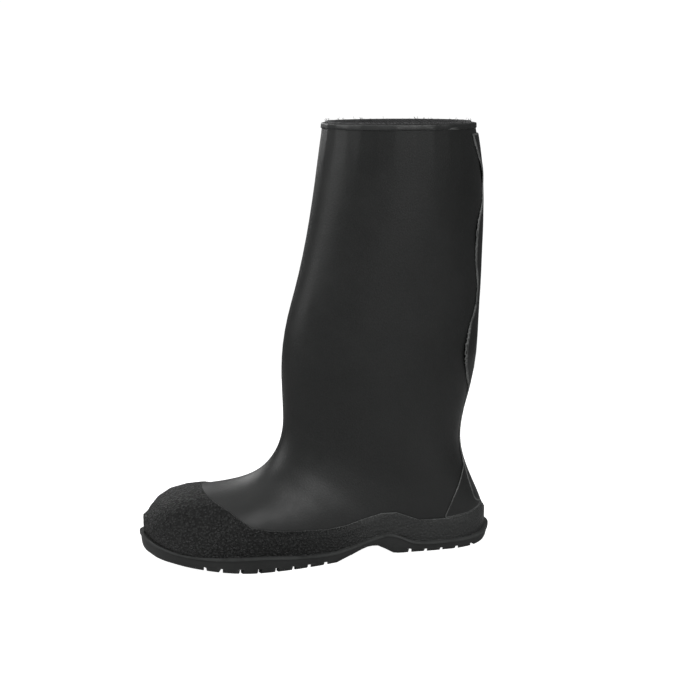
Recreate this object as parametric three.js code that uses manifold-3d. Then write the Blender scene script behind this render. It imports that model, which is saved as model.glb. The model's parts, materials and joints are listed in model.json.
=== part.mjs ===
// Pull-on steel toe work boot for the left foot, in millimetres.
// Frame: +Z is up, the toe points to -X and the outer side of the foot is -Y.
// The origin is on the ground, under the middle of the boot's bounding box.
//
// The upper is a closed skin lofted through rings. Each ring lies in a plane square to the X-Z plane,
// from a point of the front line (toe, vamp, shin) to a point of the back line (sole, heel, calf).
// Station 0 is the toe tip, the rings fan round the instep, and LAST_STATION is the top of the leg.
// Everything bonded to the upper or held in it is cut from that same skin, grown or shrunk.
import * as THREE from "three";
import { mergeVertices } from "three/addons/utils/BufferGeometryUtils.js";
import Module from "manifold-3d";

const wasm = await Module();
wasm.setup();

// ---- Driving dimensions -------------------------------------------------------------------------
const outsoleLength = 330; // over the welt, heel to toe
const bootHeight = 390; // ground to the lining's raw edge
const ballWidth = 107; // over the welt at the ball of the foot
const legWidth = 106; // across the leg at the top
const clearance = 0.3; // between bonded or loose neighbours

const upperWall = 2.6;
const liningWall = 1.2;
const liningStandsUp = 1.5; // raw edge of the lining above the top binding

const bindingHeight = 6.5;
const bindingProud = 1.4;
const bindingWeb = 1.2; // thickness over the upper's top edge
const stripWidth = 30;
const stripProud = 1.7;
const stayProud = 1.1;
const guardProud = 1.3;

const weltOverhang = 3.5; // the welt's edge outside the rand
const weltThickness = 2;
const lugDepth = 3.5;
const sidewallInset = 1.3; // the sole's side wall inside the welt's edge
const lugInset = 0.5; // the lugs' edge inside the sole's side wall
const groovePitch = 13;
const grooveWidth = 3.4;
const channelWidth = 6;

const capWall = 1.9;
const capLip = 8; // inward lip along the cap's bottom edge
const capBeadWidth = 6;
const capPadWall = 1;
const counterWall = 1.5;
const counterTop = 84;
const shankWidth = 16;
const plateThickness = 1;
const insoleThickness = 2;
const footbedThickness = 4.5;
const footbedSideGap = 2.4;
const footbedHeelGap = 5; // lets the footbed's heel end rise past the back of the heel
const footbedCover = 0.9;
const heelPadThickness = 2.5;
const tapeWidth = 14;
const tapeThickness = 0.6;

// ---- The size that the outlines below are drawn at, and how they stretch -----------------------------
const drawnLength = 330;
const drawnHeight = 390;
const drawnBallWidth = 107;
const drawnLegWidth = 106;
const ankleHeight = 130; // only the leg above this height stretches with the boot's height
const LAST_STATION = 32;
const EXTRA_HEIGHT = 20; // the skin runs on above the boot and is trimmed there
const FAR = 400; // reaches past the boot in every direction

const stretchX = (x) => (x * outsoleLength) / drawnLength;
const stretchZ = (z) =>
  z <= ankleHeight ? z : ankleHeight + ((z - ankleHeight) * (bootHeight - ankleHeight)) / (drawnHeight - ankleHeight);

// A smooth function through [at, value] keys that never overshoots between two of them.
function keyed(keys) {
  const n = keys.length;
  const step = (i) => keys[i + 1][0] - keys[i][0];
  const slope = (i) => (keys[i + 1][1] - keys[i][1]) / step(i);
  const tangent = keys.map((_, i) => {
    if (i === 0) return slope(0);
    if (i === n - 1) return slope(n - 2);
    const before = slope(i - 1);
    const after = slope(i);
    return before * after <= 0 ? 0 : (2 * before * after) / (before + after);
  });
  return (at) => {
    if (at <= keys[0][0]) return keys[0][1];
    if (at >= keys[n - 1][0]) return keys[n - 1][1];
    let i = 0;
    while (keys[i + 1][0] < at) i += 1;
    const h = step(i);
    const t = (at - keys[i][0]) / h;
    const a = keys[i][1];
    const b = keys[i + 1][1];
    return (
      a * (1 + 2 * t) * (1 - t) ** 2 + h * tangent[i] * t * (1 - t) ** 2 +
      b * t * t * (3 - 2 * t) + h * tangent[i + 1] * t * t * (t - 1)
    );
  };
}

// Height of the welt's top face along the boot, which the upper, the rand and the insole parts sit on.
const weltTop = keyed([
  [-165, 28], [-152, 22.5], [-135, 18.8], [-110, 17], [-62, 16], [-27, 12.8], [5, 11.2], [22, 13.5],
  [40, 18], [56, 21], [67, 19], [78, 12.8], [88, 10.4], [125, 10], [150, 11.2], [165, 14.5],
]);
// Underside of the sole: toe spring, ball, arch and heel.
const soleUnderside = keyed([
  [-165, 15], [-154, 8.8], [-136, 3.9], [-117, 1.4], [-97, 0.2], [-88, 0], [15, 0],
]);
const archUnderside = keyed([[13, 5], [25, 7.8], [36, 12], [45, 13.2], [54, 10.5], [62, 6], [69, 3.6]]);
const heelRise = keyed([[128, 0], [150, 2.5], [165, 6.5]]);
const archStart = 13;
const archEnd = 69;

// ---- The upper's skin, keyed by station ------------------------------------------------------------
const frontX = keyed([
  [0, -159], [1, -157.6], [2, -153.2], [3, -145.5], [4, -134], [5, -119], [6, -103], [7, -86], [8, -71],
  [9, -59], [11, -46.5], [13, -39.5], [15, -35.8], [18, -33.2], [22, -32], [25, -31], [26, -28.3],
  [27, -21.6], [28, -12.6], [29, -5.4], [30, -1], [31, 2.8], [32, 5.5],
]);
const frontZ = keyed([
  [0, 33.5], [1, 40], [2, 47.5], [3, 56], [4, 62.5], [5, 65.6], [6, 66.6], [7, 68], [8, 71], [9, 76.3],
  [11, 87.5], [13, 98.5], [15, 109], [18, 124], [20, 134], [22, 147], [24, 170], [25, 190], [26, 218],
  [27, 244], [28, 272], [29, 305], [30, 340], [31, 368], [32, 390],
]);
const backX = keyed([
  [0, -159], [1, -157.4], [2, -153.4], [3, -145.4], [4, -134], [5, -119], [6, -100], [7, -78], [8, -50],
  [9, -20], [10, 12], [11, 40], [12, 61], [13, 80], [14, 100], [15, 126], [16, 147], [17, 156],
  [18, 157.8], [19, 151.8], [20, 143.6], [21, 136.4], [22, 132.6], [23, 134], [24, 139.4], [25, 147],
  [26, 151.5], [27, 152.8], [28, 151.5], [29, 151.4], [30, 152.8], [31, 148.8], [32, 142.5],
]);
const heelBackZ = keyed([
  [16, 11.5], [17, 19], [18, 31], [19, 46], [20, 64], [21, 83], [22, 105], [23, 124], [24, 147],
  [25, 183], [26, 215], [27, 243], [28, 272], [29, 305], [30, 339], [31, 368], [32, 390],
]);
const toeUnderZ = keyed([[0, 33.5], [1, 28.5], [2, 25], [3, 22], [4, 19]]);
const outerHalf = keyed([
  [0, 0], [1, 12], [2, 22], [3, 32.5], [4, 41], [5, 46.5], [6, 50], [7, 51.5], [8, 50.5], [9, 46.5],
  [10, 41.5], [11, 37.5], [12, 35.5], [14, 34], [17, 33.5], [20, 35], [22, 37], [25, 40], [27, 43],
  [29, 48], [32, 53],
]);
const innerHalf = keyed([
  [0, 0], [1, 12], [2, 22], [3, 31], [4, 38.5], [5, 43], [6, 45], [7, 45.5], [8, 44], [9, 40],
  [10, 35], [11, 32.5], [12, 32.5], [14, 33], [17, 33], [20, 35], [22, 37], [25, 40], [27, 43],
  [29, 48], [32, 53],
]);
const middleY = keyed([[0, 5], [4, 2.5], [7, 0.5], [10, 0], [32, 0]]);
const widest = keyed([[0, 0], [2, -0.15], [4, -0.3], [8, -0.38], [13, -0.42], [17, -0.36], [21, -0.2], [25, 0]]);
const frontPower = keyed([[0, 2], [5, 2.25], [9, 2.1], [14, 2], [22, 2.05], [32, 2.1]]);
const backPower = keyed([
  [0, 2], [3, 3], [6, 5], [12, 5], [15, 3.6], [18, 2.7], [21, 2.4], [25, 2.1], [32, 2.1],
]);

// The skin dips below the sole's top face, and each piece is trimmed flat where it meets the sole.
const skinDip = keyed([[4, 0], [6, 4], [14, 4], [16, 0]]);

const frontLine = (s) => [stretchX(frontX(s)), stretchZ(frontZ(s))];
function backLine(s) {
  const x = backX(s);
  if (s >= 16) return [stretchX(x), stretchZ(heelBackZ(s))];
  return [stretchX(x), s < 4 ? toeUnderZ(s) : weltTop(x) - skinDip(s)];
}
const legShare = (s) => THREE.MathUtils.clamp((s - 22) / 10, 0, 1);
const sideScale = (s) =>
  THREE.MathUtils.lerp(ballWidth / drawnBallWidth, legWidth / drawnLegWidth, legShare(s));

// Unit normal of a line in the X-Z plane at station s; turn is +1 or -1 for the side that faces out.
function lineNormal(line, s, turn) {
  const d = 0.05;
  const a = line(Math.max(0, s - d));
  const b = line(Math.min(LAST_STATION, s + d));
  const length = Math.hypot(b[0] - a[0], b[1] - a[1]);
  return [(-turn * (b[1] - a[1])) / length, (turn * (b[0] - a[0])) / length];
}

// How much of a sideways offset stays sideways: little at the round toe, all of it further back.
function sideShare(half, s) {
  if (s >= 7) return 1;
  const d = 0.05;
  const dx = frontX(s + d) - frontX(Math.max(0, s - d));
  const dw = half(s + d) - half(Math.max(0, s - d));
  return dx / Math.hypot(dx, dw);
}

const RING_POINTS = 28;
const STATIONS = [0, 0.45];
for (let s = 1; s <= LAST_STATION; s += s < 22 ? 1 : 2) STATIONS.push(s);

// grow is a distance, or { front, back, side } with a distance or a function of the station in each.
function growth(grow, side, s) {
  const value = typeof grow === "number" ? grow : grow[side];
  return typeof value === "function" ? value(s) : value;
}

function ring(s, grow) {
  const front = frontLine(s);
  const back = backLine(s);
  const fn = lineNormal(frontLine, s, 1);
  const bn = lineNormal(backLine, s, -1);
  const gf = growth(grow, "front", s);
  const gb = growth(grow, "back", s);
  const gs = growth(grow, "side", s);
  const top = [front[0] + gf * fn[0], front[1] + gf * fn[1]];
  const low = [back[0] + gb * bn[0], back[1] + gb * bn[1]];
  const scale = sideScale(s);
  const halves = {
    outer: outerHalf(s) * scale + gs * sideShare(outerHalf, s),
    inner: innerHalf(s) * scale + gs * sideShare(innerHalf, s),
  };
  const aw = widest(s);
  const points = [];
  for (let i = 0; i < RING_POINTS; i += 1) {
    const angle = (2 * Math.PI * i) / RING_POINTS;
    const c = Math.cos(angle);
    const sn = Math.sin(angle);
    const power = 2 / (c >= 0 ? frontPower(s) : backPower(s));
    const along = c >= 0 ? aw + (1 - aw) * c ** power : aw - (1 + aw) * (-c) ** power;
    const half = Math.max(0.01, sn >= 0 ? halves.inner : halves.outer);
    const t = (along + 1) / 2;
    points.push([
      low[0] + t * (top[0] - low[0]),
      middleY(s) + Math.sign(sn) * Math.abs(sn) ** power * half,
      low[1] + t * (top[1] - low[1]),
    ]);
  }
  return points;
}

// ---- Solids ----------------------------------------------------------------------------------------
function solidFrom(geometry) {
  const bare = new THREE.BufferGeometry();
  bare.setAttribute("position", geometry.getAttribute("position"));
  if (geometry.index) bare.setIndex(geometry.index);
  const merged = mergeVertices(bare, 1e-4);
  const made = new wasm.Manifold(new wasm.Mesh({
    numProp: 3,
    vertProperties: merged.attributes.position.array,
    triVerts: new Uint32Array(merged.index.array),
  }));
  return made;
}

function geometryFrom(solid) {
  const mesh = solid.getMesh();
  const positions = new Float32Array(mesh.numVert * 3);
  for (let i = 0; i < mesh.numVert; i += 1) {
    positions.set(mesh.vertProperties.subarray(i * mesh.numProp, i * mesh.numProp + 3), i * 3);
  }
  const geometry = new THREE.BufferGeometry();
  geometry.setAttribute("position", new THREE.BufferAttribute(positions, 3));
  geometry.setIndex(new THREE.BufferAttribute(new Uint32Array(mesh.triVerts), 1));
  const faceted = geometry.toNonIndexed();
  faceted.computeVertexNormals();
  return faceted;
}

// The boot-shaped solid inside the skin, closed at the toe by a pole and above the leg by a flat end.
const skins = new Map();
function skin(grow, key = grow) {
  if (skins.has(key)) return skins.get(key);
  const rings = STATIONS.map((s) => ring(s, grow));
  const tip = rings[0].reduce((sum, p) => sum.map((v, k) => v + p[k] / RING_POINTS), [0, 0, 0]);
  const last = rings[rings.length - 1];
  rings.push(last.map((p) => [p[0], p[1], p[2] + EXTRA_HEIGHT]));
  const end = rings[rings.length - 1];
  const lid = end.reduce((sum, p) => sum.map((v, k) => v + p[k] / RING_POINTS), [0, 0, 0]);
  const triangles = [];
  for (let i = 0; i < RING_POINTS; i += 1) {
    const j = (i + 1) % RING_POINTS;
    triangles.push(tip, rings[1][i], rings[1][j], lid, end[j], end[i]);
    for (let r = 1; r < rings.length - 1; r += 1) {
      const [a, b, c, d] = [rings[r][i], rings[r][j], rings[r + 1][i], rings[r + 1][j]];
      triangles.push(a, d, b, a, c, d);
    }
  }
  const geometry = new THREE.BufferGeometry();
  geometry.setAttribute("position", new THREE.Float32BufferAttribute(triangles.flat(), 3));
  const made = solidFrom(geometry);
  skins.set(key, made);
  return made;
}

// A shape drawn in the X-Z plane, run right across the boot, or between two values of Y.
function across(outline, fromY = -FAR, toY = FAR) {
  const shape = new THREE.Shape(outline.map(([x, z]) => new THREE.Vector2(x, z)));
  const geometry = new THREE.ExtrudeGeometry(shape, { depth: toY - fromY, bevelEnabled: false, steps: 1 });
  geometry.rotateX(Math.PI / 2).translate(0, toY, 0);
  return solidFrom(geometry);
}

function block(x0, x1, y0, y1, z0, z1) {
  const box = new THREE.BoxGeometry(x1 - x0, y1 - y0, z1 - z0);
  return solidFrom(box.translate((x0 + x1) / 2, (y0 + y1) / 2, (z0 + z1) / 2));
}

// The height lines are all broken at the same grid, so that layers stacked on each other stay parallel.
const GRID = 8;
function broken(line, x) {
  const cell = Math.floor(x / GRID);
  return THREE.MathUtils.lerp(line(cell * GRID), line((cell + 1) * GRID), x / GRID - cell);
}

// The space between two height lines over a stretch of the boot, both drawn over the drawn length.
function layer(bottom, top, fromX = -180, toX = 180) {
  const xs = [fromX];
  for (let x = GRID * Math.ceil((fromX + 0.5) / GRID); x < toX - 0.5; x += GRID) xs.push(x);
  xs.push(toX);
  const lower = xs.map((x) => [stretchX(x), broken(bottom, x)]);
  const upper = xs.map((x) => [stretchX(x), broken(top, x)]).reverse();
  return across([...lower, ...upper]);
}

const below = (line) => layer(() => -60, line);

// ---- Outsole ---------------------------------------------------------------------------------------
// Half widths of the welt either side of the heel's centre line, keyed by the distance from the heel.
const soleOuter = [
  [4, 15], [13, 27], [30, 35.8], [55, 38.5], [95, 38], [135, 42.5], [185, 53], [220, 56.5], [252, 55.5],
  [282, 46.5], [305, 32.5], [321, 16],
];
const soleInner = [
  [4, 15], [13, 27], [30, 35.8], [55, 37.5], [100, 34.5], [140, 36.5], [185, 46], [225, 50.5],
  [258, 50.8], [290, 45.5], [310, 35.5], [323, 22.5],
];
const toePoint = [330, 4];
const OUTLINE_POINTS = 96;

function weltOutline() {
  const y = (half) => (half * ballWidth) / drawnBallWidth;
  const x = (u) => stretchX(drawnLength / 2 - u);
  const controls = [
    [x(0), 0],
    ...soleInner.map(([u, half]) => [x(u), y(half)]),
    [x(toePoint[0]), toePoint[1]],
    ...soleOuter.map(([u, half]) => [x(u), -y(half)]).reverse(),
  ].map(([px, py]) => new THREE.Vector3(px, py, 0));
  return new THREE.CatmullRomCurve3(controls, true, "centripetal");
}

// The welt's outline drawn in by a distance and raised into a tall block.
function plan(inset) {
  const curve = weltOutline();
  const outline = curve.getSpacedPoints(OUTLINE_POINTS).slice(0, -1);
  const moved = outline.map((p, i) => {
    const before = outline[(i + OUTLINE_POINTS - 1) % OUTLINE_POINTS];
    const after = outline[(i + 1) % OUTLINE_POINTS];
    const along = new THREE.Vector3().subVectors(after, before).normalize();
    return new THREE.Vector2(p.x - inset * along.y, p.y + inset * along.x);
  });
  const kept = moved.filter((q) => outline.every((p) => Math.hypot(p.x - q.x, p.y - q.y) > inset * 0.99 - 0.01));
  const geometry = new THREE.ExtrudeGeometry(new THREE.Shape(kept), { depth: 110, bevelEnabled: false });
  return solidFrom(geometry.translate(0, 0, -10));
}

const groundLine = (x) => (x > 100 ? heelRise(x) : soleUnderside(x));
const bodyUnderside = (x) => {
  const overLugs = groundLine(x) + lugDepth;
  return x > archStart && x < archEnd ? Math.max(overLugs, archUnderside(x)) : overLugs;
};

function outsole() {
  const welt = plan(0).intersect(layer((x) => weltTop(x) - weltThickness, weltTop));
  const body = plan(sidewallInset).intersect(layer(bodyUnderside, (x) => weltTop(x) - weltThickness / 2));
  const under = plan(sidewallInset + lugInset);
  const lugs = (from, to) => under.intersect(layer(groundLine, (x) => groundLine(x) + lugDepth + 0.5, from, to));
  const treadFrom = -118;
  let tread = lugs(treadFrom, archStart).add(lugs(archEnd, 175));
  const cut = (x) => block(stretchX(x) - grooveWidth / 2, stretchX(x) + grooveWidth / 2, -FAR, FAR, -5, lugDepth);
  for (let x = treadFrom + groovePitch; x < archStart - grooveWidth; x += groovePitch) {
    tread = tread.subtract(cut(x));
  }
  for (let x = archEnd + groovePitch; x < 140; x += groovePitch) {
    tread = tread.subtract(cut(x));
  }
  const half = channelWidth / 2;
  const channel = block(stretchX(treadFrom + 6), stretchX(138), -half, half, -5, lugDepth);
  return welt.add(body).add(tread.subtract(channel));
}

// ---- Pieces bonded to the outside of the upper --------------------------------------------------------
const randTop = keyed([
  [-70, 41], [-50, 36.8], [-27, 33.8], [0, 31.5], [18, 33], [37, 37.5], [52, 40.5], [66, 40], [77, 35.5],
  [88, 31], [112, 30], [135, 32], [150, 36], [170, 39],
]);
const capEdge = [[-114, 90], [-110, 68], [-99, 62], [-88, 55.5], [-77, 47], [-69, 41]];

const seat = (x) => weltTop(x) + clearance;

function guardAndRand() {
  const edge = capEdge.map(([x, z]) => [stretchX(x), z]);
  const [first, last] = [edge[0], edge[edge.length - 1]];
  const cap = across([[-FAR, -20], [last[0], -20], ...edge.reverse(), [-FAR, first[1]]]);
  const side = layer(() => -20, randTop, capEdge[capEdge.length - 1][0] - 1, 180);
  const wall = plan(weltOverhang).intersect(layer(seat, (x) => seat(x) + 17));
  const region = cap.add(side).subtract(below(seat));
  return wall.add(skin(guardProud)).intersect(region).subtract(skin(clearance));
}

const stayTop = 84;

function heelStay() {
  const region = across([
    [stretchX(121), 10], [FAR, 10], [FAR, stayTop], [stretchX(141), stayTop],
    [stretchX(134), 67], [stretchX(127), 50], [stretchX(121), 33],
  ]);
  return skin(stayProud).intersect(region).subtract(below((x) => randTop(x) + clearance)).subtract(skin(clearance));
}

const upperTop = bootHeight - liningStandsUp - bindingWeb - clearance;
const bindingTop = bootHeight - liningStandsUp;
const bindingFoot = bindingTop - bindingHeight;

function backStrip() {
  const half = stripWidth / 2;
  const region = block(stretchX(100), FAR, -half, half, stayTop + clearance, bindingFoot - clearance);
  return skin(stripProud).intersect(region).subtract(skin(clearance));
}

function topBinding() {
  const band = block(-FAR, FAR, -FAR, FAR, bindingFoot, bindingTop);
  const wall = skin(clearance).intersect(block(-FAR, FAR, -FAR, FAR, 0, upperTop + clearance));
  return skin(bindingProud).intersect(band).subtract(wall).subtract(skin(-upperWall));
}

// A boot-shaped wall between two offsets of the skin, with a floor between two height lines.
function shell(outer, outerFloor, hollow, hollowFloor) {
  return skin(...outer).subtract(below(outerFloor)).subtract(skin(...hollow).subtract(below(hollowFloor)));
}

const floor = (x) => seat(x) + upperWall;

function upperShell() {
  const trim = block(-FAR, FAR, -FAR, FAR, -FAR, upperTop);
  return shell([0], seat, [-upperWall], floor).intersect(trim);
}

// ---- Pieces inside the upper ----------------------------------------------------------------------------
const inner = upperWall + clearance;
const toeShare = (s) => 1 - THREE.MathUtils.smoothstep(s, 7.6, 9.4);
const heelShare = (s) => THREE.MathUtils.smoothstep(s, 12, 13.4) * (1 - THREE.MathUtils.smoothstep(s, 22, 23.4));
const capRoom = capWall + capPadWall + 2 * clearance;
const counterRoom = counterWall + clearance;
const tipShare = (s) => 1 - THREE.MathUtils.smoothstep(s, 2.5, 5);
const besideCap = (extra) => ({
  front: (s) => -inner - capRoom * toeShare(s) - extra,
  back: (s) => -inner - capRoom * tipShare(s) - extra,
  side: (s) => -inner - capRoom * toeShare(s) - extra,
});
const insideLining = (extra) => ({
  front: (s) => -inner - capRoom * toeShare(s) - extra,
  back: (s) => -inner - capRoom * tipShare(s) - counterRoom * heelShare(s) - extra,
  side: (s) => -inner - capRoom * toeShare(s) - counterRoom * heelShare(s) - extra,
});

const fillerFoot = (x) => floor(x) + clearance;
const fillerTop = (x) => fillerFoot(x) + capWall; // shank and fillers lie level with the cap's lip
const plateFoot = (x) => fillerTop(x) + clearance;
const plateTop = (x) => plateFoot(x) + plateThickness;
const wedgeStart = 66;
const heelSeat = keyed([[56, 27.7], [66, 27.9], [90, 27.3], [120, 26.9], [165, 27.7]]);
const boardFoot = (x) => Math.max(plateTop(x) + clearance, x < 56 ? 0 : heelSeat(x));
const boardTop = (x) => boardFoot(x) + insoleThickness;
const liningFoot = (x) => boardTop(x) + clearance;
const liningFloor = (x) => liningFoot(x) + liningWall;
const bedFoot = (x) => liningFloor(x) + clearance;
const bedTop = (x) => bedFoot(x) + footbedThickness;
const coverFoot = (x) => bedTop(x) + clearance;
const coverTop = (x) => coverFoot(x) + footbedCover;

const capLine = (shift) => across([
  [stretchX(-108) + shift, 100], [stretchX(-103) + shift, -20], [-FAR, -20], [-FAR, 100],
]);
// The skin of the toe at a depth inside the upper; only the round tip's underside moves inward too.
function toeSkin(depth) {
  const back = (s) => -inner - depth * tipShare(s);
  return [{ front: -inner - depth, back, side: -inner - depth }, `toe ${depth}`];
}
const capWallShell = () => shell(toeSkin(0), fillerFoot, toeSkin(capWall), (x) => fillerFoot(x) + capWall);

function steelToeCap() {
  const opening = plan(weltOverhang + inner + capLip).intersect(below((x) => fillerTop(x) + 4));
  return capWallShell().intersect(capLine(0)).subtract(opening);
}

function capBead() {
  const strip = capLine(clearance + capBeadWidth).subtract(capLine(clearance));
  return capWallShell().intersect(strip).subtract(below((x) => fillerTop(x) + 4));
}

function capPad() {
  const depth = capWall + clearance;
  const wall = skin(...toeSkin(depth)).subtract(skin(...toeSkin(depth + capPadWall)));
  return wall.intersect(capLine(-2)).subtract(below((x) => liningFoot(x) + 1));
}

function insolePart(bottom, top, fromX, toX) {
  return skin(besideCap(0), "beside cap").intersect(layer(bottom, top, fromX, toX));
}

function steelShank() {
  const half = shankWidth / 2;
  return insolePart(fillerFoot, fillerTop, -12, 118).intersect(block(-FAR, FAR, -half, half, -50, 100));
}

const forepartFiller = () => insolePart(fillerFoot, fillerTop, -92, -14);

function heelFiller() {
  const gap = shankWidth / 2 + clearance;
  const slot = block(-FAR, stretchX(118) + clearance, -gap, gap, -50, 100);
  return insolePart(fillerFoot, fillerTop, 84, 170).subtract(slot);
}

function heelWedge() {
  const bottom = (x) => plateTop(x) + clearance;
  return insolePart(bottom, (x) => boardFoot(x) - clearance, wedgeStart, 170);
}

function heelCounter() {
  const region = across([
    [stretchX(96), 0], [FAR, 0], [FAR, counterTop], [stretchX(128), counterTop],
    [stretchX(104), counterTop * 0.72],
  ]);
  const wall = skin(-inner).subtract(skin(-inner - counterWall));
  return wall.intersect(region).subtract(below((x) => boardTop(x) + clearance));
}

function liningSock() {
  const outside = [insideLining(0), "lining outside"];
  const hollow = [insideLining(liningWall), "lining inside"];
  const trim = block(-FAR, FAR, -FAR, FAR, -FAR, bootHeight);
  return shell(outside, liningFoot, hollow, liningFloor).intersect(trim);
}

function liningTape() {
  const half = tapeWidth / 2;
  const outside = skin(insideLining(liningWall + clearance), "tape outside");
  const inside = skin(insideLining(liningWall + clearance + tapeThickness), "tape inside");
  const region = block(stretchX(100), FAR, -half, half, 95, bootHeight - 3);
  return outside.subtract(inside).intersect(region);
}

function bedSkin() {
  const grow = insideLining(liningWall + footbedSideGap);
  const back = (s) => grow.back(s) - (footbedHeelGap - footbedSideGap) * heelShare(s);
  return skin({ ...grow, back }, "footbed");
}
const bedLayer = (bottom, top) => bedSkin().intersect(layer(bottom, top));
const padBlock = (room) => block(
  stretchX(98) - room, stretchX(142) + room, -22 - room, 22 + room, 0, 100,
);

function footbed() {
  const pocketRoof = (x) => bedFoot(x) + heelPadThickness + clearance;
  return bedLayer(bedFoot, bedTop).subtract(padBlock(clearance).intersect(below(pocketRoof)));
}

const heelPad = () => bedLayer(bedFoot, (x) => bedFoot(x) + heelPadThickness).intersect(padBlock(0));
const bedCover = () => bedLayer(coverFoot, coverTop);

// ---- Finishes and the assembly ------------------------------------------------------------------------------
const finish = (color, roughness, metalness = 0) => new THREE.MeshStandardMaterial({ color, roughness, metalness });
const blackRubber = finish(0x232524, 0.5);
const grainedRubber = finish(0x1f2120, 0.75);
const soleRubber = finish(0x1d1f1e, 0.65);
const greyKnit = finish(0x3a3b3c, 0.95);
const steel = finish(0x9a9c9e, 0.35, 0.9);
const greyBoard = finish(0x8b7f6c, 0.85);
const greyFoam = finish(0x4a4d50, 0.9);
const counterPlastic = finish(0xb8b4a8, 0.5);

const boot = new THREE.Group();
function piece(name, solid, material) {
  const mesh = new THREE.Mesh(geometryFrom(solid), material);
  mesh.name = name;
  boot.add(mesh);
}

piece("outsole", outsole(), soleRubber);
piece("toe_guard_and_rand", guardAndRand(), grainedRubber);
piece("upper_shell", upperShell(), blackRubber);
piece("heel_stay", heelStay(), blackRubber);
piece("back_strip", backStrip(), blackRubber);
piece("top_binding", topBinding(), blackRubber);
piece("steel_toe_cap", steelToeCap(), steel);
piece("toe_cap_edge_bead", capBead(), blackRubber);
piece("toe_cap_pad", capPad(), greyFoam);
piece("forepart_filler", forepartFiller(), greyFoam);
piece("heel_filler", heelFiller(), greyFoam);
piece("steel_shank", steelShank(), steel);
piece("steel_midsole_plate", insolePart(plateFoot, plateTop, -170, 170), steel);
piece("heel_wedge", heelWedge(), greyFoam);
piece("insole_board", insolePart(boardFoot, boardTop, -170, 170), greyBoard);
piece("heel_counter", heelCounter(), counterPlastic);
piece("lining_sock", liningSock(), greyKnit);
piece("lining_seam_tape", liningTape(), greyKnit);
piece("footbed", footbed(), greyFoam);
piece("footbed_heel_pad", heelPad(), greyFoam);
piece("footbed_cover", bedCover(), greyKnit);

const box = new THREE.Box3().setFromObject(boot);
boot.position.set(-(box.min.x + box.max.x) / 2, -(box.min.y + box.max.y) / 2, -box.min.z);

export default boot;
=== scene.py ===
import json
import math
import random

import bmesh
import bpy
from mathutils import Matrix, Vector

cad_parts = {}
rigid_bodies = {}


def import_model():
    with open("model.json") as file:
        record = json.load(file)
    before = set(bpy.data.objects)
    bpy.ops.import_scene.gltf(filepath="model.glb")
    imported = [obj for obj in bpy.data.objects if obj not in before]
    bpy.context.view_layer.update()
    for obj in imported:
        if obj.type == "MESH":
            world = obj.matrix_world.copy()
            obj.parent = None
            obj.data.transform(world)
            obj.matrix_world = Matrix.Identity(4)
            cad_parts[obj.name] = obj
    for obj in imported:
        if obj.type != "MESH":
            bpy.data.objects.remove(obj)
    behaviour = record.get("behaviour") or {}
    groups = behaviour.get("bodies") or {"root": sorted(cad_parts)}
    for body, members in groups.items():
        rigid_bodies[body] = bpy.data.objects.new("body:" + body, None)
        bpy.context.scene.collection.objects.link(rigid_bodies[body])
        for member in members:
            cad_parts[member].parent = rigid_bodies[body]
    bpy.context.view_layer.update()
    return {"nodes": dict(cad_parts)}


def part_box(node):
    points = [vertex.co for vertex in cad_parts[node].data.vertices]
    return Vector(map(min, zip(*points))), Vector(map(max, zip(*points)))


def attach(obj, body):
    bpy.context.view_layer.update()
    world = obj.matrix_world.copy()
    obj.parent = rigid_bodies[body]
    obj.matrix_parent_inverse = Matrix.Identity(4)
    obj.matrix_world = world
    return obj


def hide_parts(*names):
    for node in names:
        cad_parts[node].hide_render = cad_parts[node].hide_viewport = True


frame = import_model()
nodes = frame["nodes"]
MM = 0.001

# Sizes of the welt, the wall and the rim, in millimetres.
WELT_OVERHANG = 1.0
WELT_THICKNESS = 2.0
UPPER_WALL = 2.4
RIM_RISE = 2.2  # the rim stands this much above the CAD rim
BINDING_HEIGHT = 5.0
GAP = 0.15  # between the form and the pieces that lie over it


# ---- Tools -------------------------------------------------------------------------------------------
def deselect_all():
    if bpy.context.object and bpy.context.object.mode != "OBJECT":
        bpy.ops.object.mode_set(mode="OBJECT")
    for other in bpy.context.view_layer.objects:
        other.select_set(False)


def activate(piece):
    deselect_all()
    bpy.context.view_layer.objects.active = piece
    piece.select_set(True)


def edit(piece):
    activate(piece)
    bpy.ops.object.mode_set(mode="EDIT")
    bpy.ops.mesh.select_mode(type="VERT")
    bpy.ops.mesh.select_all(action="DESELECT")


def edit_whole(piece):
    edit(piece)
    bpy.ops.mesh.select_all(action="SELECT")


def leave_edit():
    bpy.ops.object.mode_set(mode="OBJECT")


def select_where(piece, kind, test):
    """Selects the verts, edges or faces of the piece being edited that pass a test."""
    bm = bmesh.from_edit_mesh(piece.data)
    bm.select_mode = {"verts": {"VERT"}, "edges": {"EDGE"}, "faces": {"FACE"}}[kind]
    for part in (bm.verts, bm.edges, bm.faces):
        for item in part:
            item.select = False
    for item in getattr(bm, kind):
        if test(item):
            item.select_set(True)
    bm.select_flush_mode()
    bmesh.update_edit_mesh(piece.data)


def use_modifier(piece, kind, **settings):
    activate(piece)
    bpy.ops.object.modifier_add(type=kind)
    modifier = piece.modifiers[-1]
    for name, value in settings.items():
        setattr(modifier, name, value)
    bpy.ops.object.modifier_apply(modifier=modifier.name)


def copy_node(node, name):
    """A copy of a CAD node as one welded mesh."""
    activate(nodes[node])
    bpy.ops.object.duplicate(linked=False)
    piece = bpy.context.object
    piece.name = name
    piece.data.name = name
    piece.data.materials.clear()
    edit_whole(piece)
    bpy.ops.mesh.remove_doubles(threshold=0.00002)
    leave_edit()
    bpy.ops.object.parent_clear(type="CLEAR_KEEP_TRANSFORM")
    return piece


def smooth(piece, angle):
    activate(piece)
    bpy.ops.object.shade_smooth_by_angle(angle=math.radians(angle))


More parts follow.
